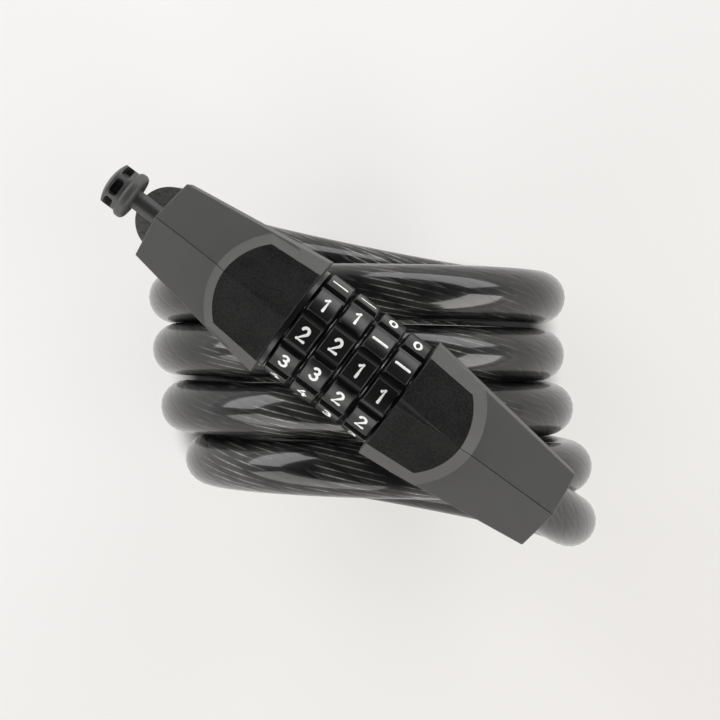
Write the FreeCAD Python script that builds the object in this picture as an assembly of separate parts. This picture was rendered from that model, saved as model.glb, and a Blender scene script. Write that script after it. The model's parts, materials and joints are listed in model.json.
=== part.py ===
"""Coiled combination cable lock, in millimetres.

The lock head is modelled along its own axis: +X towards the end of the dial half, +Z out of the
face that carries the dials, +Y across. It is then rolled, turned and moved onto the coil, with the
middle of the head at the origin. The coil lies on its side under the head, on its flattened back.
"""
import math
import os

import FreeCAD
import Part
from FreeCAD import Vector

# ---- driving dimensions -------------------------------------------------------------------------
HEAD_TURN = -36.87           # the head's axis against +X, seen from above
HEAD_ROLL = 5.0              # the head's face leans this much towards -Y
CABLE_RADIUS = 6.0           # outside of the plastic sleeve
CORE_RADIUS = 4.4            # the steel rope inside it

DIAL_COUNT = 4
DIAL_PITCH = 6.5
DIAL_WIDTH = 6.0
FIRST_DIAL_X = -11.65        # middle of the dial next to the plug half
TILES = 10
TILE_FLAT = 11.75            # axis to the flat of a number tile
TILE_HALF = 2.75
VALLEY_RADIUS = 11.1
DIAL_SLACK = (2.0, -8.0, -2.0, 5.0)  # how far each dial stands from its click, in degrees

DIAL_FACE_X = 11.15          # where the dial half's covers begin
PLUG_FACE_X = 16.05          # where the plug half's covers begin, towards -X
COVER_END_X = 48.8
END_POINT = 1.0              # the ends come to a blunt edge this much further out
END_SLOPE_FRONT = (11.3, 5.0)  # height of the front ridge beside the dials and at the end
END_SLOPE_BACK = (12.3, 8.3)
ROOF_SLOPE = 1 / 3
SIDE_Y = 13.5                # half width beside the dials
SIDE_END_Y = 8.9
EDGE_ROUND = 0.35
CORNER_CUT = (2.9, 2.2, 7.6)  # the slanted corners beside the dials: inwards, down and along
SEAM_HALF = 0.06             # the two covers of a half meet in a fine gap

PLATFORM_Z = (12.4, 10.8)    # the raised seat of each inlay, beside the dials and at its round end
ARCH_RADIUS = 13.4           # the round end of each black inlay
ARCH_SPREAD = 47.0           # the round end stops so far from the middle line, in degrees
ARCH_CENTRE = {"plug": 18.4, "dial": 13.1}
SLOPE_WIDTH = {"plug": 1.9, "dial": 2.5}
INLAY_SIDE_Y = 10.7          # half width of the inlay beside the dials
INLAY_THICK = 1.6
INLAY_CHAMFER = 0.25

BARREL_RADIUS = 5.0
BARREL_BORE = 3.5
BARREL_START_X = -17.0
BARREL_END_X = 33.0
FLANGE_RADIUS = 7.0
SLOT_HALF = 1.25
COLLAR_RADIUS = 11.6
COLLAR_X = (-15.95, -14.95)
RUNNING = 0.06               # radial clearance of the running fits

RING_RADIUS = 8.0            # code ring outside, dial inside
RING_WIDTH = 6.2
WEB = 2.0                    # the part of a code ring that stops a tooth
TOOTH_LENGTH = 2.4
TOOTH_TOP = 6.5
TOOTH_HALF = 1.0
COUNTERBORE = 7.0
GATE_HALF = 2.0

ROD_RADIUS = 3.42
ROD_TIP_X = 12.0
ROD_BASE_X = -34.0
ROD_HEAD_X = -21.0
ROD_HEAD_RADIUS = 6.0

BOSS_RADIUS = 7.0
BOSS_ROOF = 1.5              # the boss is closed by this much over the cable's end
BOSS_DEPTH = 11.5
PLUG_BOSS_X = -48.2
DIAL_BOSS_X = 35.5
BOSS_TOP_Z = -5.5
DIAL_BOSS_LEAN = 33.0        # the lower cable leaves the dial half at this slant

NECK_RADIUS = 2.0
KNOB_FLANGE = (5.8, 8.2)     # from and to, out from the end of the cover
KNOB_WINDOWS = (8.9, 10.8)
KNOB_RIM = 11.3
KNOB_END = 12.3
KNOB_RADIUS = 5.1
CROWN_RADIUS = 4.5
KNOB_WINDOW_COUNT = 6
KNOB_WINDOW_SPREAD = 50.0    # in degrees, which leaves a narrow bar between windows

HEAD_ABOVE_COIL = 63.0       # the head's axis over the middle of the coil
COIL_RADIUS = 42.2           # to the middle of the cable
COIL_TOP = (-0.7, 28.6)      # middle of the coil's upper end, x and y
COIL_BOTTOM = (6.8, -37.0)
COIL_TOP_SLOPE = -11.5       # the end turns lean like the pitch of the winding, in degrees
COIL_BOTTOM_SLOPE = -11.1
BACK_FLAT = 2.6              # the back is pressed this flat where the lock lies on it
HEAD_ASIDE = -0.5            # the head's axis stands this far beside the middle of the coil

os.makedirs("parts", exist_ok=True)
X_AXIS = Vector(1, 0, 0)
Y_AXIS = Vector(0, 1, 0)
Z_AXIS = Vector(0, 0, 1)


def along_x(radius, start, end, y=0.0, z=0.0):
    return Part.makeCylinder(radius, end - start, Vector(start, y, z), X_AXIS)


def ring_along_x(outer, inner, start, end):
    return along_x(outer, start, end).cut(along_x(inner, start - 1, end + 1))


def box(x0, x1, y0, y1, z0, z1):
    return Part.makeBox(x1 - x0, y1 - y0, z1 - z0, Vector(x0, y0, z0))


def flat_face(points):
    return Part.Face(Part.makePolygon([*points, points[0]]))


def mirrored_in_x(shape):
    return shape.mirror(Vector(0, 0, 0), X_AXIS)


def one_solid(shape):
    """The largest solid of a result that should be one piece."""
    return max(shape.Solids, key=lambda solid: solid.Volume)


# ---- covers and inlays --------------------------------------------------------------------------
def roof_z(x, y, face_x, up=1):
    """Height of the front (up 1) or back (up -1) of a half that begins at face_x."""
    start, end = END_SLOPE_FRONT if up > 0 else END_SLOPE_BACK
    fall = (start - end) / (COVER_END_X + END_POINT - face_x)
    return up * (start - fall * (x - face_x) - ROOF_SLOPE * abs(y))


def platform_z(x, y, face_x, arch_x):
    """Height of the raised seat of the inlay, which falls less than the roof round it."""
    start, end = PLATFORM_Z
    fall = (start - end) / (arch_x + ARCH_RADIUS - face_x)
    return start - fall * (x - face_x) - ROOF_SLOPE * abs(y)


def cover_block(face_x):
    """The outside of one half, solid, towards +X: two roofs, two floors and slanting sides."""
    tip_x = COVER_END_X + END_POINT

    def at(x, y, up):
        return Vector(x, y, roof_z(x, y, face_x, up))

    faces = []
    for up in (1, -1):
        for side in (1, -1):
            roof = [at(face_x, 0, up), at(face_x, side * SIDE_Y, up)]
            roof += [at(COVER_END_X, side * SIDE_END_Y, up), at(tip_x, 0, up)]
            faces.append(flat_face(roof))
    for side in (1, -1):
        wall = [at(face_x, side * SIDE_Y, up) for up in (1, -1)]
        corner = [at(COVER_END_X, side * SIDE_END_Y, up) for up in (1, -1)]
        tip = [at(tip_x, 0, up) for up in (1, -1)]
        faces.append(flat_face([wall[0], wall[1], corner[1], corner[0]]))
        faces.append(flat_face([corner[0], corner[1], tip[1], tip[0]]))
    outline = [(0, 1), (SIDE_Y, 1), (SIDE_Y, -1), (0, -1), (-SIDE_Y, -1), (-SIDE_Y, 1)]
    faces.append(flat_face([at(face_x, y, up) for y, up in outline]))
    block = outwards(faces)
    outer = [edge for edge in block.Edges if edge.BoundBox.XMax > face_x + 0.01]
    return block.makeFillet(EDGE_ROUND, outer)


def outwards(faces):
    """A solid from faces that close, with its outside out."""
    solid = Part.Solid(Part.Shell(faces))
    if solid.Volume < 0:
        solid.reverse()
    return solid


def corner_cut(face_x, side, up):
    """Takes a three-cornered slant off the block where roof, side and dial face meet."""
    inwards, down, length = CORNER_CUT
    narrow = (SIDE_Y - SIDE_END_Y) / (COVER_END_X - face_x)
    first = Vector(face_x, side * (SIDE_Y - inwards), 0)
    first.z = roof_z(first.x, first.y, face_x, up)
    second = Vector(face_x, side * SIDE_Y, roof_z(face_x, SIDE_Y, face_x, up) - up * down)
    third = Vector(face_x + length, side * (SIDE_Y - narrow * length), 0)
    third.z = roof_z(third.x, third.y, face_x, up)
    middle = (first + second + third) * (1 / 3)
    reach = 8
    wide = flat_face([middle + (point - middle) * reach for point in (first, second, third)])
    normal = (second - first).cross(third - first).normalize()
    if normal.y * side < 0:
        normal = normal * -1
    return wide.extrude(normal * 12)


def inlay_outline(half, face_x, grow, height):
    """The inlay's outline on the +Y side, laid on the slanted plane that height gives."""
    arch_x, radius = ARCH_CENTRE[half], ARCH_RADIUS + grow
    corner_x = face_x - 1

    def on(x, y):
        return Vector(x, y, height(x, y))

    def round_end(degrees):
        angle = math.radians(degrees)
        return on(arch_x + radius * math.cos(angle), radius * math.sin(angle))

    middle, side = on(corner_x, 0), on(corner_x, INLAY_SIDE_Y + grow)
    apex, meet = round_end(0), round_end(ARCH_SPREAD)
    return Part.Wire([
        Part.LineSegment(middle, side).toShape(),
        Part.LineSegment(side, meet).toShape(),
        Part.Arc(meet, round_end(ARCH_SPREAD / 2), apex).toShape(),
        Part.LineSegment(apex, middle).toShape(),
    ])


def both_sides(shape):
    return shape.fuse(shape.mirror(Vector(0, 0, 0), Y_AXIS)).removeSplitter()


def behind_face(shape, face_x):
    return shape.cut(box(face_x - 10, face_x, -40, 40, -40, 40))


def platform(half, face_x):
    """The raised seat with its sloped rim, which runs down into the roof."""
    sunk = 0.2
    arch_x = ARCH_CENTRE[half]
    top = inlay_outline(half, face_x, 0, lambda x, y: platform_z(x, y, face_x, arch_x))
    foot = inlay_outline(
        half, face_x, SLOPE_WIDTH[half] * (1 + sunk), lambda x, y: roof_z(x, y, face_x) - sunk
    )
    return behind_face(both_sides(Part.makeLoft([foot, top], True, True)), face_x)


def inlay(half, face_x):
    """The inlay's slab, flush with the top of its seat."""
    arch_x = ARCH_CENTRE[half]
    top = inlay_outline(half, face_x, 0, lambda x, y: platform_z(x, y, face_x, arch_x))
    slab = Part.Face(top).extrude(Vector(0, 0, -INLAY_THICK))
    return behind_face(both_sides(slab), face_x)


def half_block(half, face_x):
    block = cover_block(face_x).fuse(platform(half, face_x))
    for side in (1, -1):
        for up in (1, -1):
            block = block.cut(corner_cut(face_x, side, up))
    return block.cut(inlay(half, face_x))


def chamfered_inlay(half, face_x):
    slab = inlay(half, face_x)
    rim = [
        edge for edge in slab.Edges
        if edge.BoundBox.XMax < face_x + 0.01 and edge.BoundBox.ZMax > PLATFORM_Z[0] - 0.01
        and edge.BoundBox.YLength > 1
    ]
    return slab.makeChamfer(INLAY_CHAMFER, rim)


def ridge(half, face_x, along, height, top_half, foot_half):
    """A low ridge on the inlay's middle line that runs out to nothing at its far end."""
    start, end = (face_x + distance for distance in along)
    arch_x = ARCH_CENTRE[half]
    end_point = Vector(end, 0, platform_z(end, 0, face_x, arch_x) - 0.02)
    crest = platform_z(start, 0, face_x, arch_x) + height
    foot = platform_z(start, foot_half, face_x, arch_x) - 0.2
    section = [(-foot_half, foot), (-top_half, crest), (top_half, crest), (foot_half, foot)]
    corners = [Vector(start, y, z) for y, z in section]
    faces = [flat_face(corners)]
    for first, second in zip(corners, corners[1:] + corners[:1]):
        faces.append(flat_face([first, second, end_point]))
    return outwards(faces)


# ---- cable bosses -------------------------------------------------------------------------------
def in_boss_frame(shape, boss_x, lean):
    """Puts a piece that was made pointing down at the origin onto the back of a half."""
    shape = shape.copy()
    shape.rotate(Vector(0, 0, 0), Y_AXIS, -lean)
    shape.translate(Vector(boss_x, 0, BOSS_TOP_Z))
    return shape


def boss_blank(extra=0.0):
    return Part.makeCylinder(BOSS_RADIUS, BOSS_DEPTH + extra, Vector(0, 0, -BOSS_DEPTH))


def cable_boss(boss_x, lean):
    blank = boss_blank()
    blank = blank.makeFillet(1.2, [e for e in blank.Edges if e.BoundBox.ZMax < -BOSS_DEPTH + 0.01])
    return in_boss_frame(blank.cut(ferrule_blank()).cut(pin_blank()), boss_x, lean)


def ferrule_blank():
    return Part.makeCylinder(CORE_RADIUS, BOSS_DEPTH - BOSS_ROOF, Vector(0, 0, -BOSS_DEPTH))


def pin_blank():
    return Part.makeCylinder(1.0, 13.0, Vector(0, -6.5, -5.0), Y_AXIS)


def ferrule(boss_x, lean):
    return in_boss_frame(ferrule_blank().cut(pin_blank()), boss_x, lean)


def ferrule_pin(boss_x, lean):
    return in_boss_frame(pin_blank(), boss_x, lean)


# ---- the dial half ------------------------------------------------------------------------------
def screw(x, z):
    """A countersunk screw that runs in from the lower side, towards +Y."""
    shank = Part.makeCylinder(1.1, 9.0, Vector(x, -5.0, z), Y_AXIS)
    head = Part.makeCylinder(2.1, 1.4, Vector(x, -6.2, z), Y_AXIS)
    cross = box(x - 1.4, x + 1.4, -6.3, -5.6, z - 0.3, z + 0.3)
    return head.fuse(shank).cut(cross).removeSplitter()


def screw_hole(x, z):
    shank = Part.makeCylinder(1.1, 9.0, Vector(x, -5.0, z), Y_AXIS)
    return Part.makeCylinder(2.1, 20.0, Vector(x, -24.8, z), Y_AXIS).fuse(shank)


def halves(block):
    """Splits a hollowed half at its middle plane into the two moulded covers."""
    upper = block.common(box(-80, 80, SEAM_HALF, 40, -40, 40))
    lower = block.common(box(-80, 80, -40, -SEAM_HALF, -40, 40))
    return one_solid(upper), one_solid(lower)


def dial_half(nodes):
    block = half_block("dial", DIAL_FACE_X)
    flange = along_x(FLANGE_RADIUS, DIAL_FACE_X + 0.6, DIAL_FACE_X + 6)
    block = block.cut(along_x(BARREL_RADIUS, DIAL_FACE_X - 1, BARREL_END_X)).cut(flange)
    block = block.cut(in_boss_frame(boss_blank(extra=2.0), DIAL_BOSS_X, DIAL_BOSS_LEAN))
    screws = [(23.0, -7.4), (45.5, 0.0)]
    for x, z in screws:
        block = block.cut(screw_hole(x, z))
    upper, lower = halves(block)
    nodes["dial_half_cover_upper"] = upper
    nodes["dial_half_cover_lower"] = lower
    nodes["dial_half_inlay"] = dial_half_inlay()
    nodes["dial_half_screws"] = Part.makeCompound([screw(x, z) for x, z in screws])
    nodes["dial_half_cable_boss"] = cable_boss(DIAL_BOSS_X, DIAL_BOSS_LEAN)
    nodes["dial_half_ferrule"] = ferrule(DIAL_BOSS_X, DIAL_BOSS_LEAN)
    nodes["dial_half_ferrule_pin"] = ferrule_pin(DIAL_BOSS_X, DIAL_BOSS_LEAN)

    barrel = along_x(BARREL_RADIUS, BARREL_START_X, BARREL_END_X).fuse(flange)
    barrel = barrel.cut(along_x(BARREL_BORE, BARREL_START_X - 1, ROD_TIP_X + 6))
    slot_end = FIRST_DIAL_X + 3 * DIAL_PITCH + 5
    barrel = barrel.cut(box(BARREL_START_X - 1, slot_end, -SLOT_HALF, SLOT_HALF, -8, 0))
    spring_x = (BARREL_START_X + 3, slot_end)
    barrel = barrel.cut(box(*spring_x, -0.8, 0.8, 4.1, 8))
    groove = ring_along_x(BARREL_RADIUS + 1, BARREL_RADIUS - 0.5, COLLAR_X[0] - 0.75, COLLAR_X[0] - 0.05)
    nodes["dial_barrel"] = barrel.cut(groove)
    nodes["click_spring"] = box(*spring_x, -0.8, 0.8, 4.1, 4.6)
    slot = box(COLLAR_X[0] - 2, COLLAR_X[1] + 1, -SLOT_HALF, SLOT_HALF, -8, 0)
    collar = ring_along_x(COLLAR_RADIUS, BARREL_RADIUS, *COLLAR_X)
    nodes["dial_end_collar"] = collar.cut(box(*COLLAR_X, -GATE_HALF, GATE_HALF, -COUNTERBORE, 0))
    clip = ring_along_x(BARREL_RADIUS + 0.9, BARREL_RADIUS - 0.5, COLLAR_X[0] - 0.75, COLLAR_X[0] - 0.05)
    nodes["collar_snap_ring"] = one_solid(clip.cut(box(-20, -10, -2.4, 2.4, -8, 0)).cut(slot))


def dial_half_inlay():
    """The black inlay of the dial half, with the ridge that marks the code line."""
    mark = ridge("dial", DIAL_FACE_X, (0.0, 15.1), 0.9, 0.5, 1.3)
    return one_solid(chamfered_inlay("dial", DIAL_FACE_X).fuse(mark))


# ---- the dials ----------------------------------------------------------------------------------
def dial_middle(i):
    return FIRST_DIAL_X + i * DIAL_PITCH


def on_dial(radius, degrees, x):
    """A point of a dial; 0 degrees is the code line, and the numbers rise towards -Y."""
    angle = math.radians(degrees)
    return Vector(x, -radius * math.sin(angle), radius * math.cos(angle))


def dial_ring(i):
    """The turned outside of one dial: ten flat number tiles with shallow valleys between."""
    x0 = dial_middle(i) - DIAL_WIDTH / 2
    corner = math.hypot(TILE_FLAT, TILE_HALF)
    spread = math.degrees(math.atan2(TILE_HALF, TILE_FLAT))
    outline = []
    for tile in range(TILES):
        middle = DIAL_SLACK[i] + tile * 360 / TILES
        outline.append(on_dial(corner, middle - spread, x0))
        outline.append(on_dial(corner, middle + spread, x0))
        outline.append(on_dial(VALLEY_RADIUS, middle + 180 / TILES, x0))
    blank = flat_face(outline).extrude(Vector(DIAL_WIDTH, 0, 0))
    return blank.cut(along_x(RING_RADIUS, x0 - 1, x0 + DIAL_WIDTH + 1))


def code_ring(i):
    """The ring inside a dial: a web with one gate, and a wider bore where a tooth can stand."""
    x0 = dial_middle(i) - RING_WIDTH / 2
    ring = ring_along_x(RING_RADIUS, BARREL_RADIUS + RUNNING, x0, x0 + RING_WIDTH)
    ring = ring.cut(along_x(COUNTERBORE, x0 + WEB, x0 + RING_WIDTH - 0.8))
    gate = box(x0 - 1, x0 + RING_WIDTH + 1, -GATE_HALF, GATE_HALF, -COUNTERBORE, 0)
    gate.rotate(Vector(0, 0, 0), X_AXIS, DIAL_SLACK[i])
    return ring.cut(gate)


# ---- the plug half ------------------------------------------------------------------------------
def plug_half(nodes):
    block = mirrored_in_x(half_block("plug", PLUG_FACE_X))
    socket = along_x(BARREL_RADIUS + 1.6, -PLUG_FACE_X - 1.4, -PLUG_FACE_X + 1)
    rod_head = along_x(ROD_HEAD_RADIUS, ROD_BASE_X, ROD_HEAD_X)
    block = block.cut(socket).cut(rod_head).cut(along_x(ROD_RADIUS, ROD_HEAD_X - 1, -PLUG_FACE_X))
    block = block.cut(in_boss_frame(boss_blank(), PLUG_BOSS_X, 0))
    knob = mounting_knob()
    block = block.cut(knob)
    cross_pin = Part.makeCylinder(1.25, 16.0, Vector(-29.0, -8.0, -2.0), Y_AXIS)
    block = block.cut(cross_pin)
    screws = [(-38.0, 0.5), (-23.5, -7.6)]
    for x, z in screws:
        block = block.cut(screw_hole(x, z))
    upper, lower = halves(block)
    nodes["plug_half_cover_upper"] = upper
    nodes["plug_half_cover_lower"] = lower
    line = ridge("plug", PLUG_FACE_X, (2.2, 15.6), 0.2, 0.14, 0.3)
    plug_inlay = mirrored_in_x(chamfered_inlay("plug", PLUG_FACE_X).fuse(line))
    nodes["plug_half_inlay"] = one_solid(plug_inlay)
    nodes["plug_half_screws"] = Part.makeCompound([screw(x, z) for x, z in screws])
    nodes["plug_half_cable_boss"] = cable_boss(PLUG_BOSS_X, 0)
    nodes["plug_half_ferrule"] = ferrule(PLUG_BOSS_X, 0)
    nodes["plug_half_ferrule_pin"] = ferrule_pin(PLUG_BOSS_X, 0)
    nodes["mounting_knob"] = knob
    nodes["bolt_rod"] = bolt_rod(rod_head).cut(cross_pin)
    nodes["bolt_cross_pin"] = cross_pin


def bolt_rod(rod_head):
    """The steel bolt: a round rod with one tooth for each dial."""
    rod = along_x(ROD_RADIUS, ROD_BASE_X, ROD_TIP_X - 1)
    tip = Part.makeCone(ROD_RADIUS, ROD_RADIUS - 0.8, 1.0, Vector(ROD_TIP_X - 1, 0, 0), X_AXIS)
    rod = rod.fuse(rod_head).fuse(tip)
    for i in range(DIAL_COUNT):
        x0 = dial_middle(i) - RING_WIDTH / 2 + WEB + 0.5
        rod = rod.fuse(box(x0, x0 + TOOTH_LENGTH, -TOOTH_HALF, TOOTH_HALF, -TOOTH_TOP, -2.0))
    return rod.removeSplitter()


def knob_window(x):
    """What is cut out of the knob's crown at one window: a wedge with rounded corners."""
    spread = math.radians(KNOB_WINDOW_SPREAD / 2)
    inner, outer = 3.0, CROWN_RADIUS + 1
    corners = [(inner, -spread), (outer, -spread), (outer, spread), (inner, spread)]
    wedge = flat_face([Vector(x, r * math.sin(turn), r * math.cos(turn)) for r, turn in corners])
    wedge = wedge.extrude(Vector(KNOB_WINDOWS[1] - KNOB_WINDOWS[0], 0, 0))
    radial = [
        edge for edge in wedge.Edges
        if edge.BoundBox.XLength < 0.01 and edge.BoundBox.ZLength > 1
    ]
    return wedge.makeFillet(0.75, radial)


def knob_crown(end):
    """The turned blank of the crown: a short cylinder that ends in a shallow dome."""
    radius, gate = CROWN_RADIUS, 0.4
    root_x, rim_x, end_x = (end - x for x in (KNOB_FLANGE[1] - 1, KNOB_RIM, KNOB_END))
    bulge = (rim_x + end_x) / 2 - 0.3
    profile = Part.Wire([
        Part.LineSegment(Vector(root_x, 0, 0), Vector(root_x, radius, 0)).toShape(),
        Part.LineSegment(Vector(root_x, radius, 0), Vector(rim_x, radius, 0)).toShape(),
        Part.Arc(
            Vector(rim_x, radius, 0), Vector(bulge, radius * 0.55, 0), Vector(end_x, gate, 0)
        ).toShape(),
        Part.LineSegment(Vector(end_x, gate, 0), Vector(end_x, 0, 0)).toShape(),
        Part.LineSegment(Vector(end_x, 0, 0), Vector(root_x, 0, 0)).toShape(),
    ])
    return Part.Face(profile).revolve(Vector(0, 0, 0), X_AXIS, 360)


def mounting_knob():
    """The moulded stud on the plug half's end that clips into a bracket on the bicycle."""
    end = -(COVER_END_X + END_POINT)
    neck = along_x(NECK_RADIUS, end - KNOB_END + 1, end + 5)
    anchor = along_x(3.4, end + 2.6, end + 4.6)
    disc = along_x(KNOB_RADIUS, end - KNOB_FLANGE[1], end - KNOB_FLANGE[0])
    disc = disc.makeFillet(1.0, [edge for edge in disc.Edges if edge.Curve.TypeId == "Part::GeomCircle"])
    crown = knob_crown(end)
    window = knob_window(end - KNOB_WINDOWS[1])
    for i in range(KNOB_WINDOW_COUNT):
        crown = crown.cut(window)
        window.rotate(Vector(0, 0, 0), X_AXIS, 360 / KNOB_WINDOW_COUNT)
    return one_solid(neck.fuse([anchor, disc, crown]).removeSplitter())


# ---- the cable ----------------------------------------------------------------------------------
def coil_wire(radius, centre, slope):
    circle = Part.Circle(Vector(0, 0, 0), Y_AXIS, radius)
    wire = Part.Wire([circle.toShape()])
    wire.rotate(Vector(0, 0, 0), Z_AXIS, slope)
    wire.translate(Vector(centre[0], centre[1], -HEAD_ABOVE_COIL))
    return wire


def coil_solid():
    """The outer shape of the four and a half turns, hollow, flattened where it lies."""
    drum = None
    for radius in (COIL_RADIUS + CABLE_RADIUS, COIL_RADIUS - CABLE_RADIUS):
        ends = [coil_wire(radius, COIL_TOP, COIL_TOP_SLOPE)]
        ends.append(coil_wire(radius, COIL_BOTTOM, COIL_BOTTOM_SLOPE))
        loft = Part.makeLoft(ends, True, True)
        drum = loft if drum is None else drum.cut(loft)
    floor_z = -HEAD_ABOVE_COIL - COIL_RADIUS - CABLE_RADIUS + BACK_FLAT
    return drum.cut(box(-90, 90, -90, 90, floor_z - 20, floor_z))


def cable_run(points, name):
    """A round tube along straight runs joined by arcs that touch both."""
    edges = []
    start = points[0]
    for before, corner, after in zip(points, points[1:], points[2:]):
        into = (corner - before).normalize()
        out = (after - corner).normalize()
        half_turn = into.getAngle(out) / 2
        setback = 0.45 * min(corner.distanceToPoint(before), corner.distanceToPoint(after))
        radius = setback / math.tan(half_turn)
        print(f"{name}: bend radius {radius:.1f} mm, turn {math.degrees(2 * half_turn):.0f} degrees")
        arc_start = corner - into * setback
        arc_end = corner + out * setback
        to_centre = (out - into).normalize()
        centre = corner + to_centre * (radius / math.cos(half_turn))
        arc_middle = centre - to_centre * radius
        edges.append(Part.LineSegment(start, arc_start).toShape())
        edges.append(Part.Arc(arc_start, arc_middle, arc_end).toShape())
        start = arc_end
    edges.append(Part.LineSegment(start, points[-1]).toShape())
    path = Part.Wire(edges)
    ring = Part.Circle(points[0], points[1] - points[0], CABLE_RADIUS)
    tube = path.makePipeShell([Part.Wire([ring.toShape()])], True, False)
    expected = math.pi * CABLE_RADIUS**2 * path.Length
    print(f"{name}: length {path.Length:.1f} mm, volume over section times length "
          f"{tube.Volume / expected:.4f}")
    return tube


# ---- putting it together ------------------------------------------------------------------------
def head_to_world(shape):
    shape = shape.copy()
    shape.rotate(Vector(0, 0, 0), X_AXIS, HEAD_ROLL)
    shape.translate(Vector(0, HEAD_ASIDE, 0))
    shape.rotate(Vector(0, 0, 0), Z_AXIS, HEAD_TURN)
    return shape


def boss_mouth(boss_x, lean, beyond):
    """A point on a boss's axis, so far below its mouth, in the world."""
    return head_to_world(
        in_boss_frame(Part.Vertex(Vector(0, 0, -BOSS_DEPTH - beyond)), boss_x, lean)
    ).Point


nodes = {}
dial_half(nodes)
plug_half(nodes)
for index in range(DIAL_COUNT):
    nodes[f"dial_ring_{index + 1}"] = dial_ring(index)
    nodes[f"code_ring_{index + 1}"] = code_ring(index)
nodes = {name: head_to_world(shape) for name, shape in nodes.items()}

nodes["cable_coil"] = coil_solid()
upper = [boss_mouth(PLUG_BOSS_X, 0, 0), boss_mouth(PLUG_BOSS_X, 0, 10)]
upper.append(Vector(upper[1].x + 1.0, upper[1].y + 0.5, -36.5))
nodes["cable_upper_lead"] = cable_run(upper, "cable_upper_lead")
lower = [boss_mouth(DIAL_BOSS_X, DIAL_BOSS_LEAN, 0), boss_mouth(DIAL_BOSS_X, DIAL_BOSS_LEAN, 11)]
lower.append(lower[1] + Vector(4.2, -2.4, -12.0))
nodes["cable_lower_lead"] = cable_run(lower, "cable_lower_lead")

head = FreeCAD.BoundBox()
for name, shape in nodes.items():
    if not name.startswith("cable_"):
        head.add(shape.BoundBox)
print(f"head box middle {head.Center.x:.3f} {head.Center.y:.3f} {head.Center.z:.3f}")

for name, shape in nodes.items():
    shape.translate(-head.Center)
    kind = f"{len(shape.Solids)} solid"
    print(f"{name}: {kind}, valid {shape.isValid()}, volume {shape.Volume:.1f}")
    shape.exportStep(f"parts/{name}.step")
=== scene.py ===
"""Coiled combination cable lock: the looks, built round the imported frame, in metres."""
import json
import math

import bmesh
import bpy
from mathutils import Matrix, Vector


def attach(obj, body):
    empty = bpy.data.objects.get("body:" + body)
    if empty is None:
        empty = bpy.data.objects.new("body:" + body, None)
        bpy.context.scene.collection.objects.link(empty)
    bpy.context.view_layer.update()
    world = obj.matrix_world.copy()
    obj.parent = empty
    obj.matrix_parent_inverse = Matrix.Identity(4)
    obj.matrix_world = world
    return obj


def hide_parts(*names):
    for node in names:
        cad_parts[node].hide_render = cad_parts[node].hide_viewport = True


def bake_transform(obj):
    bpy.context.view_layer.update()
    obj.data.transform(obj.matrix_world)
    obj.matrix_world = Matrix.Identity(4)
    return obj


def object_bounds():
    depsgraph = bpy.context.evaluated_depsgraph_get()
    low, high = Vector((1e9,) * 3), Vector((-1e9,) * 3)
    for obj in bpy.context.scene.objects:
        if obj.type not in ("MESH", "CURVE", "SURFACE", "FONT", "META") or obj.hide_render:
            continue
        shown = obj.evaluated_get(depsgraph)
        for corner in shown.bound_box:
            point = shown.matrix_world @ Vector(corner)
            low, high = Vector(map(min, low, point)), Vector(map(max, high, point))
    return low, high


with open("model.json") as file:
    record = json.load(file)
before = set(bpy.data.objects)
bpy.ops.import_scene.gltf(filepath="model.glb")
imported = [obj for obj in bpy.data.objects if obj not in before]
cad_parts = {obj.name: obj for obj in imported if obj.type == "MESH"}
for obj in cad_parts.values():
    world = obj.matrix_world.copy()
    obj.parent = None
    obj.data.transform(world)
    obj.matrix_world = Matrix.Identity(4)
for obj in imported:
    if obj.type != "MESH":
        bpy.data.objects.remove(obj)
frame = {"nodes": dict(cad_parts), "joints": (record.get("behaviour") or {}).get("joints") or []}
cad_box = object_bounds()
MM = 0.001

# ---- where the head lies ------------------------------------------------------------------------
# The lock head is one straight axis: the four dials turn on it and the plug half slides along it.
# Head coordinates run along that axis, with Z out of the face that carries the numbers.
FIRST_DIAL_X = -11.65 * MM
DIAL_PITCH = 6.5 * MM
HEAD_ROLL = math.radians(5.0)
HEAD_ASIDE = -0.5 * MM

first_turn = next(joint for joint in frame["joints"] if joint["name"] == "dial_1_turn")
axis = Vector(first_turn["axis"]).normalized()
head_origin = Vector(first_turn["pos_m"]) - axis * FIRST_DIAL_X
head = (
    Matrix.Translation(head_origin)
    @ Matrix.Rotation(math.atan2(axis.y, axis.x), 4, "Z")
    @ Matrix.Rotation(HEAD_ROLL, 4, "X")
)
# the coil's own middle line stands a little aside from the head's axis
coil_origin = head_origin - Vector((-axis.y, axis.x, 0)) * HEAD_ASIDE


def beside_head(x, y, z):
    """A point given in millimetres over or under the coil, along the world's own axes."""
    return coil_origin + Vector((x, y, z)) * MM


# ---- studio -------------------------------------------------------------------------------------
# A pale tabletop that the coil lies on, bright surroundings and a dim ceiling, viewed from straight
# above with a long lens. The tabletop glows, and under the coil a shadow is painted into it.
FLOOR_Z = cad_box[0][2]
LENS_X, LENS_Y = 0.6, 0.4
CAMERA_HEIGHT = 417.0
FOCAL_LENGTH = 103.0

camera_data = bpy.data.cameras.new("camera")
camera_data.lens = FOCAL_LENGTH
camera_data.sensor_width = 36.0
camera_data.clip_start = 0.01
camera = bpy.data.objects.new("camera", camera_data)
camera.location = beside_head(LENS_X, LENS_Y, CAMERA_HEIGHT)
bpy.context.scene.collection.objects.link(camera)
bpy.context.scene.camera = camera
bpy.context.scene.view_settings.view_transform = "Standard"


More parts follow.
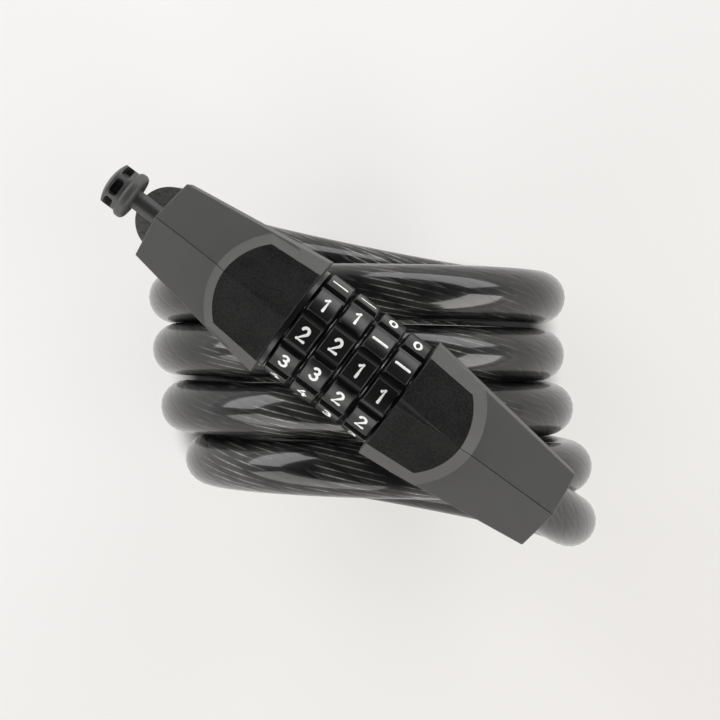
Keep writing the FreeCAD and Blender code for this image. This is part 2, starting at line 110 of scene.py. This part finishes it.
class Value:
    """A number that comes out of a shader node and can be used in sums."""

    def __init__(self, shader, link):
        self.shader = shader
        self.link = link

    def math(self, operation, *others):
        inputs = dict(enumerate((self.link, *others)))
        return self.shader.add("ShaderNodeMath", inputs, operation=operation).out()

    def __add__(self, other):
        return self.math("ADD", other)

    def __sub__(self, other):
        return self.math("SUBTRACT", other)

    def __rsub__(self, other):
        return self.math("MULTIPLY", -1.0) + other

    def __mul__(self, other):
        return self.math("MULTIPLY", other)

    def __truediv__(self, other):
        return self.math("DIVIDE", other)


class Added:
    """One node that was put into a shader."""

    def __init__(self, shader, node):
        self.shader = shader
        self.node = node

    def out(self, name=0):
        return Value(self.shader, self.node.outputs[name])


class Shader:
    """A material that is put together node by node."""

    def __init__(self, name, **surface):
        self.material = bpy.data.materials.new(name)
        self.material.use_nodes = True
        self.tree = self.material.node_tree
        self.surface = self.tree.nodes["Principled BSDF"]
        self.set(self.surface, {key.replace("_", " "): item for key, item in surface.items()})

    def set(self, node, inputs):
        for key, item in inputs.items():
            socket = node.inputs[key]
            if isinstance(item, Value):
                item = item.link
            if isinstance(item, bpy.types.NodeSocket):
                self.tree.links.new(item, socket)
            else:
                if isinstance(item, tuple) and len(item) == 3 and socket.type == "RGBA":
                    item = (*item, 1.0)
                socket.default_value = item

    def add(self, kind, inputs=None, **settings):
        node = self.tree.nodes.new(kind)
        for key, item in settings.items():
            setattr(node, key, item)
        self.set(node, inputs or {})
        return Added(self, node)

    def place(self):
        return self.add("ShaderNodeTexCoord").out("Object")

    def noise(self, scale, detail=2.0, roughness=0.5):
        inputs = {"Vector": self.place(), "Scale": scale, "Detail": detail, "Roughness": roughness}
        return self.add("ShaderNodeTexNoise", inputs).out("Fac")

    def blend(self, factor, first, second):
        inputs = {"Factor": factor, 6: first, 7: second}
        return self.add("ShaderNodeMix", inputs, data_type="RGBA").out(2)

    def bump(self, height, strength, distance):
        inputs = {"Height": height, "Strength": strength, "Distance": distance}
        return self.add("ShaderNodeBump", inputs).out("Normal")


def linked(name, mesh):
    piece = bpy.data.objects.new(name, mesh)
    bpy.context.scene.collection.objects.link(piece)
    return piece


def from_bmesh(name, shape, place=None):
    """Turns a finished bmesh into a piece, with its place in its mesh."""
    bmesh.ops.remove_doubles(shape, verts=shape.verts, dist=1e-7)
    bmesh.ops.recalc_face_normals(shape, faces=shape.faces)
    if place is not None:
        bmesh.ops.transform(shape, matrix=place, verts=shape.verts)
    mesh = bpy.data.meshes.new(name)
    shape.to_mesh(mesh)
    shape.free()
    return linked(name, mesh)


FLOOR_WIDE = 6.0
# size, place and soft edge of the shadow painted black into the tabletop under the coil, in millimetres
PAINTED_SHADOW_SIZE = (45.0, 27.0)
PAINTED_SHADOW_ASIDE = (2.0, -4.0)
PAINTED_SHADOW_FULL_TO = 0.94
PAINTED_SHADOW_GONE_AT = 1.12
tabletop_shape = bmesh.new()
bmesh.ops.create_grid(tabletop_shape, x_segments=1, y_segments=1, size=FLOOR_WIDE / 2)
tabletop = from_bmesh("tabletop", tabletop_shape, Matrix.Translation((0, 0, FLOOR_Z)))
paper = Shader("glowing_paper_painted_shadow", Roughness=0.9)
spot = paper.add("ShaderNodeSeparateXYZ", {0: paper.place()})
across, far = spot.out("X"), spot.out("Y")
# the paper glows and so lights up the shadows round the lock; under the coil its colour and glow
# are painted black instead, a painted shadow that darkens the floor showing through the gaps between the
# turns
inner_x = ((across - coil_origin.x) / MM - PAINTED_SHADOW_ASIDE[0]) / PAINTED_SHADOW_SIZE[0]
inner_y = ((far - coil_origin.y) / MM - PAINTED_SHADOW_ASIDE[1]) / PAINTED_SHADOW_SIZE[1]
inner_sum = inner_x.math("ABSOLUTE").math("POWER", 4.0) + inner_y.math("ABSOLUTE").math("POWER", 4.0)
painted_shadow_reach = inner_sum.math("POWER", 0.25)
outside_painted_shadow = paper.add(
    "ShaderNodeMapRange",
    {0: painted_shadow_reach, 1: PAINTED_SHADOW_FULL_TO, 2: PAINTED_SHADOW_GONE_AT, 3: 0.0, 4: 1.0},
    interpolation_type="SMOOTHSTEP",
).out()
# paler towards the far left corner, a little warmer and darker towards the near right one
slant = ((across - far) * 2.6 + 0.5).math("MINIMUM", 1.0).math("MAXIMUM", 0.0)
glow = paper.blend(slant, (0.965, 0.957, 0.947), (0.81, 0.785, 0.755))
# painted shadow: black colour and no glow under the coil; outside it the pale paper glows
paper.set(
    paper.surface,
    {
        "Base Color": paper.blend(outside_painted_shadow, (0.02, 0.02, 0.02), (0.34, 0.335, 0.33)),
        "Emission Color": paper.blend(outside_painted_shadow, (0.0, 0.0, 0.0), glow),
        "Emission Strength": 0.62,
    },
)
tabletop.data.materials.append(paper.material)


def soft_light(name, place, size, power, colour=(1, 1, 1)):
    """A rectangular lamp that looks at the lock."""
    data = bpy.data.lights.new(name, "AREA")
    data.shape = "RECTANGLE"
    data.size, data.size_y = size
    data.energy = power
    data.color = colour
    light = bpy.data.objects.new(name, data)
    light.location = place
    light.rotation_euler = (Vector((0, 0, -0.03)) - light.location).to_track_quat("-Z", "Y").to_euler()
    bpy.context.scene.collection.objects.link(light)


soft_light("strip_upper_left", (-0.80, 0.62, 0.30), (1.4, 0.5), 11.0)
soft_light("strip_upper_right", (0.66, 0.86, 0.28), (1.4, 0.5), 10.0)
soft_light("strip_lower_left", (-0.62, -0.80, 0.28), (1.4, 0.5), 8.0, (1.0, 0.985, 0.97))
soft_light("strip_lower_right", (0.84, -0.60, 0.30), (1.2, 0.5), 12.0, (1.0, 0.985, 0.97))

DIM_CEILING_FROM = 0.42

world = bpy.data.worlds.new("room")
world.use_nodes = True
bpy.context.scene.world = world
room = world.node_tree
sky = room.nodes["Background"]
direction = room.nodes.new("ShaderNodeTexCoord")
split = room.nodes.new("ShaderNodeSeparateXYZ")
room.links.new(direction.outputs["Generated"], split.inputs[0])
height = room.nodes.new("ShaderNodeValToRGB")
height.color_ramp.elements[0].position = 0.0
height.color_ramp.elements[0].color = (1.0, 0.99, 0.97, 1)
height.color_ramp.elements[1].position = DIM_CEILING_FROM
height.color_ramp.elements[1].color = (0.08, 0.08, 0.08, 1)
room.links.new(split.outputs["Z"], height.inputs[0])
room.links.new(height.outputs[0], sky.inputs["Color"])
sky.inputs["Strength"].default_value = 0.9

# ---- cable --------------------------------------------------------------------------------------
# A twisted steel rope in a smoky clear plastic sleeve, wound in four and a half loose turns that
# lie on their flattened backs. It goes up into the back of each half.
CABLE_RADIUS = 6.0
COIL_MIDDLE_Z = -63.0
COIL_BACK = 39.7
COIL_FRONT = 42.2
STEPS = 8
INSIDE = 1.0 / math.cos(math.pi / (2 * STEPS))
LEFT_TURNS = ((-37.6, 30.9), (-42.3, 15.0), (-41.4, 3.0), (-39.5, -10.1), (-33.8, -22.2))
RIGHT_TURNS = ((42.1, 14.8), (41.9, 1.6), (44.0, -10.8), (48.3, -24.1), (48.4, -36.6))
UPPER_LEAD = ((-37.2, 29.8, -16.9), (-36.9, 30.2, -24.0), (-37.4, 30.7, -36.0), (-38.3, 31.0, -50.0))
LOWER_LEAD = (
    (49.2, -36.9, -66.0),
    (48.6, -36.2, -52.0),
    (45.4, -34.2, -39.0),
    (40.2, -30.6, -28.0),
    (32.6, -24.6, -15.6),
)


def half_turn(start, end, over):
    """The inner points of half a turn, over the front of the coil or under its back."""
    points = []
    depth = COIL_FRONT if over else -COIL_BACK
    for step in range(1, STEPS):
        angle = math.pi * step / STEPS
        share = (1 - math.cos(angle) * INSIDE) / 2
        flat = 1.0 if over else 0.9
        x = start[0] + (end[0] - start[0]) * share
        y = start[1] + (end[1] - start[1]) * min(max(share, 0), 1)
        z = COIL_MIDDLE_Z + depth * math.sin(angle) ** flat * INSIDE
        points.append((x, y, z))
    return points


def outwards(point, sign):
    """A side point of the coil, moved out so that the smooth line touches the turn's width."""
    return (point[0] + sign * (INSIDE - 1) * COIL_FRONT, point[1], COIL_MIDDLE_Z)


route = list(UPPER_LEAD)
for turn, (left, right) in enumerate(zip(LEFT_TURNS, RIGHT_TURNS)):
    if turn:
        route.append(outwards(left, -1))
    route += half_turn(left, right, over=False)
    if turn < len(RIGHT_TURNS) - 1:
        route.append(outwards(right, 1))
        route += half_turn(right, LEFT_TURNS[turn + 1], over=True)
route += LOWER_LEAD

line = bpy.data.curves.new("cable_line", "CURVE")
line.dimensions = "3D"
spline = line.splines.new("NURBS")
spline.points.add(len(route) - 1)
for point, place in zip(spline.points, route):
    point.co = (*beside_head(*place), 1.0)
spline.order_u = 3
spline.use_endpoint_u = True
line.resolution_u = 8
line_object = bpy.data.objects.new("cable_line", line)
bpy.context.scene.collection.objects.link(line_object)
bpy.context.view_layer.update()
thread = bpy.data.meshes.new_from_object(line_object)
centre_line = [vertex.co.copy() for vertex in thread.vertices]
line.bevel_depth = CABLE_RADIUS * MM
line.bevel_resolution = 10
line.use_fill_caps = True
bpy.context.view_layer.update()
sleeve_mesh = bpy.data.meshes.new_from_object(line_object)
bpy.data.objects.remove(line_object)

run = [0.0]
for before, after in zip(centre_line, centre_line[1:]):
    run.append(run[-1] + (after - before).length)
cable_length = run[-1]
print(f"cable length {cable_length:.4f} m, points {len(centre_line)}")
sleeve_map = sleeve_mesh.uv_layers[0]
for corner in sleeve_map.data:
    corner.uv.x = run[min(round(corner.uv.x * (len(run) - 1)), len(run) - 1)]
for face in sleeve_mesh.polygons:
    face.use_smooth = True
cable = linked("cable", sleeve_mesh)

# The rope under the sleeve: strands wound round the cable, each of fine wires. The wires' glints are
# painted into the colour as bright dashes, strongest on the strand crests, and the grooves between
# the strands get painted shade. The rope and its painted glints are the clearest along the middle of
# each turn and fade by their place in the world towards the coil's sides, a painted stand-in for the
# sleeve's reflection washing them out there.
STRANDS = 8.0
STRAND_PITCH = 0.060
WIRE_PITCH = 0.0058
WIRES = 26.0
# where the painted fade of the rope towards the coil's sides begins and how wide it is, in millimetres
PAINTED_FADE_CLEAR_TO = 25.0
PAINTED_FADE_WIDTH = 12.0
sleeve = Shader(
    "smoky_sleeve_painted_glints", Roughness=0.36, Specular_IOR_Level=0.12, Coat_Weight=0.7, Coat_Roughness=0.1
)
along = sleeve.add("ShaderNodeSeparateXYZ", {0: sleeve.add("ShaderNodeUVMap").out()})
along_cable = along.out("X")
round_cable = along.out("Y")
wander = sleeve.noise(55.0, 2.0)
strand_phase = (round_cable - along_cable / STRAND_PITCH) * STRANDS + wander * 0.35
strand = (strand_phase.math("FRACT") - 0.5).math("ABSOLUTE") * 2.0
groove = strand.math("POWER", 5.0)
wire_phase = round_cable * WIRES - along_cable / WIRE_PITCH
wire = (wire_phase.math("FRACT") - 0.5).math("ABSOLUTE") * 2.0
dash = wire.math("POWER", 9.0)
broken = sleeve.noise(900.0, 1.0)
cloud = sleeve.noise(70.0, 3.0)
cleared = ((cloud - 0.42) * 5.0).math("MINIMUM", 1.0).math("MAXIMUM", 0.0)
# the painted fade: the rope's tone and its painted glints weaken with distance from the coil's middle
sideways = sleeve.add("ShaderNodeSeparateXYZ", {0: sleeve.place()}).out("X") - coil_origin.x
past_middle = (sideways.math("ABSOLUTE") / MM - PAINTED_FADE_CLEAR_TO) / PAINTED_FADE_WIDTH
painted_rope_fade = cleared * (1.0 - past_middle).math("MINIMUM", 1.0).math("MAXIMUM", 0.12)
# strand crests lighter and grooves darker, painted shade; the bright wire dashes on the crests are painted
# glints
crest = (1.0 - strand).math("POWER", 0.6)
painted_wire_glints = dash * broken * crest * painted_rope_fade
smoke = sleeve.blend(crest * painted_rope_fade, (0.005, 0.005, 0.005), (0.030, 0.030, 0.029))
# the pale grey mixed in here is the colour of the painted wire glints
tone = sleeve.blend(painted_wire_glints * 2.4, smoke, (0.42, 0.41, 0.39))
relief = (1.0 - groove) * 0.7 + dash * 0.3
sleeve.set(
    sleeve.surface,
    {"Base Color": tone, "Normal": sleeve.bump(relief, 0.35, 0.0004)},
)
cable.data.materials.append(sleeve.material)
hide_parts("cable_coil", "cable_upper_lead", "cable_lower_lead")
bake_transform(cable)

# ---- covers, inlays, bosses and knob ------------------------------------------------------------
# Injection-moulded parts: dark grey grained covers, black inlays, a coarser cable boss behind the
# plug half and a black stud that clips into the bracket.


def moulded(name, colour, roughness, grain, grain_depth, mottle=0.15, specular=0.45, contrast=1.0):
    """Moulded plastic with a fine spark-eroded grain."""
    plastic = Shader(name, Specular_IOR_Level=specular)
    patch = plastic.noise(160.0, 3.0)
    speck = plastic.noise(grain, 2.0, 0.6)
    darker = tuple(channel * (1 - mottle) for channel in colour)
    lighter = tuple(channel * (1 + mottle) for channel in colour)
    spread = (patch * 0.4 + speck * 0.6 - 0.5) * contrast + 0.5
    tone = plastic.blend(spread, darker, lighter)
    finish = patch * 0.08 + (roughness - 0.04)
    plastic.set(
        plastic.surface,
        {"Base Color": tone, "Roughness": finish, "Normal": plastic.bump(speck, 0.55, grain_depth)},
    )
    return plastic.material


cover_plastic = moulded("grained_grey_cover", (0.066, 0.066, 0.064), 0.62, 5200.0, 0.00008)
inlay_plastic = moulded("grained_black_inlay", (0.006, 0.006, 0.0058), 0.6, 2200.0, 0.0002, 0.95, 0.22, 4.5)
boss_plastic = moulded("coarse_grey_boss", (0.105, 0.105, 0.102), 0.75, 1900.0, 0.0003, 0.5, 0.4, 2.5)
knob_plastic = moulded("black_stud", (0.052, 0.052, 0.051), 0.5, 3000.0, 0.0001)


def finish_node(names, material):
    for name in names:
        node = frame["nodes"][name]
        node.data.materials.clear()
        node.data.materials.append(material)


finish_node(
    [f"{half}_cover_{side}" for half in ("dial_half", "plug_half") for side in ("upper", "lower")],
    cover_plastic,
)
finish_node(["dial_half_inlay", "plug_half_inlay"], inlay_plastic)
finish_node(["dial_half_cable_boss", "plug_half_cable_boss"], boss_plastic)
finish_node(["mounting_knob"], knob_plastic)

# ---- inner metal parts --------------------------------------------------------------------------
# The turned bolt, pins, screws and rings, and the cast barrel. They only show when the lock is
# pulled open, and so do the black code rings inside the dials.


def metal(name, colour, roughness, ripple):
    """Turned or cast metal with fine tool marks."""
    bright = Shader(name, Metallic=1.0)
    marks = bright.noise(ripple, 3.0)
    tone = bright.blend(marks, tuple(0.8 * channel for channel in colour), colour)
    bright.set(
        bright.surface,
        {
            "Base Color": tone,
            "Roughness": marks * 0.12 + roughness,
            "Normal": bright.bump(marks, 0.3, 0.00005),
        },
    )
    return bright.material


steel = metal("turned_steel", (0.58, 0.58, 0.57), 0.24, 1500.0)
brass = metal("turned_brass", (0.74, 0.55, 0.27), 0.28, 1500.0)
zinc = metal("cast_zinc", (0.50, 0.50, 0.49), 0.38, 900.0)
finish_node(["bolt_rod", "bolt_cross_pin", "click_spring", "collar_snap_ring"], steel)
finish_node(["dial_half_screws", "plug_half_screws"], steel)
finish_node(["dial_half_ferrule_pin", "plug_half_ferrule_pin"], steel)
finish_node(["dial_half_ferrule", "plug_half_ferrule"], brass)
finish_node([f"code_ring_{number}" for number in range(1, 5)], inlay_plastic)
finish_node(["dial_barrel"], zinc)

# ---- dials --------------------------------------------------------------------------------------
# Four glossy black rings. Each has ten raised tiles with sloped edges, a white bar on one and the
# numbers 0 to 8 on the others, and hides the code ring pressed into it.
DIAL_SLACK = (2.0, -8.0, -2.0, 5.0)
CODE = (2, 2, 1, 1)
MARKS = ("0", "bar", "1", "2", "3", "4", "5", "6", "7", "8")
TILES = len(MARKS)
TILE_FLAT = 11.75 * MM
TILE_HALF = 2.75 * MM
VALLEY_RADIUS = 11.1 * MM
RING_RADIUS = 8.0 * MM
HALF_WIDTH = 3.0 * MM
TILE_END = 2.55 * MM
TILE_SLOPE = math.radians(2.2)
FOOT_DROP = 0.15 * MM
EDGE_ROUND = 0.16 * MM
NUMBER_HEIGHT = 3.4 * MM
PEN_RADIUS = 0.31 * MM

dial_plastic = Shader("polished_black_dial", Specular_IOR_Level=0.3, Coat_Weight=0.06, Coat_Roughness=0.12)
smear = dial_plastic.noise(240.0, 4.0)
dial_plastic.set(
    dial_plastic.surface,
    {
        "Base Color": dial_plastic.blend(smear, (0.004, 0.004, 0.004), (0.009, 0.009, 0.009)),
        "Roughness": smear * 0.12 + 0.24,
    },
)
finish_node(["dial_end_collar"], dial_plastic.material)
number_paint = Shader("white_number_paint", Specular_IOR_Level=0.4)
fleck = number_paint.noise(3000.0, 2.0)
number_paint.set(
    number_paint.surface,
    {
        "Base Color": number_paint.blend(fleck, (0.78, 0.78, 0.76), (0.86, 0.86, 0.84)),
        "Roughness": fleck * 0.1 + 0.4,
    },
)


def pulled_ring(shape, edges, shift, scale):
    """Extrudes a ring of edges along the axis and pulls its points in or out."""
    new = bmesh.ops.extrude_edge_only(shape, edges=edges)["geom"]
    points = [item for item in new if isinstance(item, bmesh.types.BMVert)]
    for point in points:
        out = math.hypot(point.co.y, point.co.z)
        factor = scale(out) / out
        point.co = (point.co.x + shift, point.co.y * factor, point.co.z * factor)
    return [item for item in new if isinstance(item, bmesh.types.BMEdge)]


def dial_body(name, place):
    shape = bmesh.new()
    circle = bmesh.ops.create_circle(shape, segments=4 * TILES, radius=1.0)["verts"]
    corner = math.hypot(TILE_FLAT, TILE_HALF)
    spread = math.atan2(TILE_HALF, TILE_FLAT)
    valley = spread + TILE_SLOPE
    for number, point in enumerate(circle):
        tile, part = divmod(number, 4)
        turn = (-valley, -spread, spread, valley)[part] + tile * 2 * math.pi / TILES
        radius = VALLEY_RADIUS if part in (0, 3) else corner
        point.co = (-TILE_END, -radius * math.sin(turn), radius * math.cos(turn))
    crest = list(shape.edges)
    foot = VALLEY_RADIUS - FOOT_DROP
    low = pulled_ring(shape, crest, -(HALF_WIDTH - TILE_END), lambda out: min(out, foot))
    low = pulled_ring(shape, low, 0.0, lambda out: RING_RADIUS)
    high = pulled_ring(shape, crest, 2 * TILE_END, lambda out: out)
    high = pulled_ring(shape, high, HALF_WIDTH - TILE_END, lambda out: min(out, foot))
    high = pulled_ring(shape, high, 0.0, lambda out: RING_RADIUS)
    bmesh.ops.bridge_loops(shape, edges=low + high)
    bmesh.ops.remove_doubles(shape, verts=shape.verts, dist=1e-6)
    sharp = [edge for edge in shape.edges if len(edge.link_faces) == 2 and edge.calc_face_angle() > 0.2]
    bmesh.ops.bevel(
        shape,
        geom=sharp,
        offset=EDGE_ROUND,
        offset_type="OFFSET",
        affect="EDGES",
        segments=2,
        profile=0.5,
        material=-1,
    )
    body = from_bmesh(name, shape, place)
    for face in body.data.polygons:
        face.use_smooth = True
    body.data.materials.append(dial_plastic.material)
    return body


def bend(middle_x, middle_y, wide, tall, first, last):
    """Points round part of an ellipse, from one angle to another in degrees."""
    steps = max(3, round(abs(last - first) / 22))
    turns = [math.radians(first + (last - first) * step / steps) for step in range(steps + 1)]
    return [(middle_x + wide * math.cos(turn), middle_y + tall * math.sin(turn)) for turn in turns]


# each mark as round-ended pen strokes, in halves of its height
STROKES = {
    "bar": [[(-1.15, 0.0), (1.15, 0.0)]],
    "0": [bend(0, 0, 0.55, 1, 90, 450)],
    "1": [[(-0.32, 0.66), (0.1, 1.0), (0.1, -1.0)]],
    "2": [bend(0, 0.45, 0.52, 0.55, 165, -25) + [(-0.55, -1.0), (0.6, -1.0)]],
    "3": [bend(-0.04, 0.53, 0.48, 0.47, 150, -90), bend(-0.04, -0.47, 0.56, 0.53, 90, -150)],
    "4": [[(0.15, 1.0), (-0.6, -0.4), (0.62, -0.4)], [(0.3, 0.1), (0.3, -1.0)]],
    "5": [[(0.48, 1.0), (-0.38, 1.0), (-0.44, 0.12)], bend(-0.05, -0.37, 0.56, 0.63, 130, -145)],
    "6": [bend(0.0, -0.42, 0.54, 0.58, 0, 360), [(-0.5, -0.2), (-0.22, 0.5), (0.25, 1.0)]],
    "7": [[(-0.52, 1.0), (0.55, 1.0), (-0.15, -1.0)]],
    "8": [bend(0, 0.52, 0.44, 0.48, 90, 450), bend(0, -0.48, 0.56, 0.52, 90, 450)],
}


def number_mesh(mark):
    """One mark as a thin raised print: flattened strokes with round ends and corners."""
    half_height = (NUMBER_HEIGHT - 2 * PEN_RADIUS) / 2
    ink = bpy.data.curves.new("ink", "CURVE")
    ink.dimensions = "3D"
    ink.bevel_depth = PEN_RADIUS
    ink.bevel_resolution = 2
    shape = bmesh.new()
    for stroke in STROKES[mark]:
        points = [Vector((x, y, 0)) * half_height for x, y in stroke]
        line = ink.splines.new("POLY")
        line.points.add(len(points) - 1)
        for point, place in zip(line.points, points):
            point.co = (*place, 1.0)
        for place in points:
            around = Matrix.Translation(place)
            bmesh.ops.create_uvsphere(
                shape, u_segments=12, v_segments=6, radius=PEN_RADIUS, matrix=around
            )
    written = linked("ink", ink)
    bpy.context.view_layer.update()
    shape.from_mesh(bpy.data.meshes.new_from_object(written))
    bpy.data.objects.remove(written)
    bmesh.ops.scale(shape, vec=(1, 1, 0.12), verts=shape.verts)
    return shape


for dial in range(4):
    middle = FIRST_DIAL_X + dial * DIAL_PITCH
    slack = math.radians(DIAL_SLACK[dial])
    turned = Matrix.Translation((middle, 0, 0)) @ Matrix.Rotation(slack, 4, "X")
    name = f"dial_{dial + 1}"
    body = dial_body(f"{name}_tiles", head @ turned)
    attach(body, name)
    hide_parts(f"dial_ring_{dial + 1}")
    marks = bmesh.new()
    for place, mark in enumerate(MARKS):
        steps_down = place - MARKS.index(str(CODE[dial]))
        shape = number_mesh(mark)
        lift = Matrix.Translation((0, 0, TILE_FLAT))
        around = Matrix.Rotation(steps_down * 2 * math.pi / TILES, 4, "X")
        bmesh.ops.transform(shape, matrix=around @ lift, verts=shape.verts)
        patch = bpy.data.meshes.new("mark")
        shape.to_mesh(patch)
        shape.free()
        marks.from_mesh(patch)
        bpy.data.meshes.remove(patch)
    numbers = from_bmesh(f"{name}_numbers", marks, head @ turned)
    numbers.data.materials.append(number_paint.material)
    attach(numbers, name)
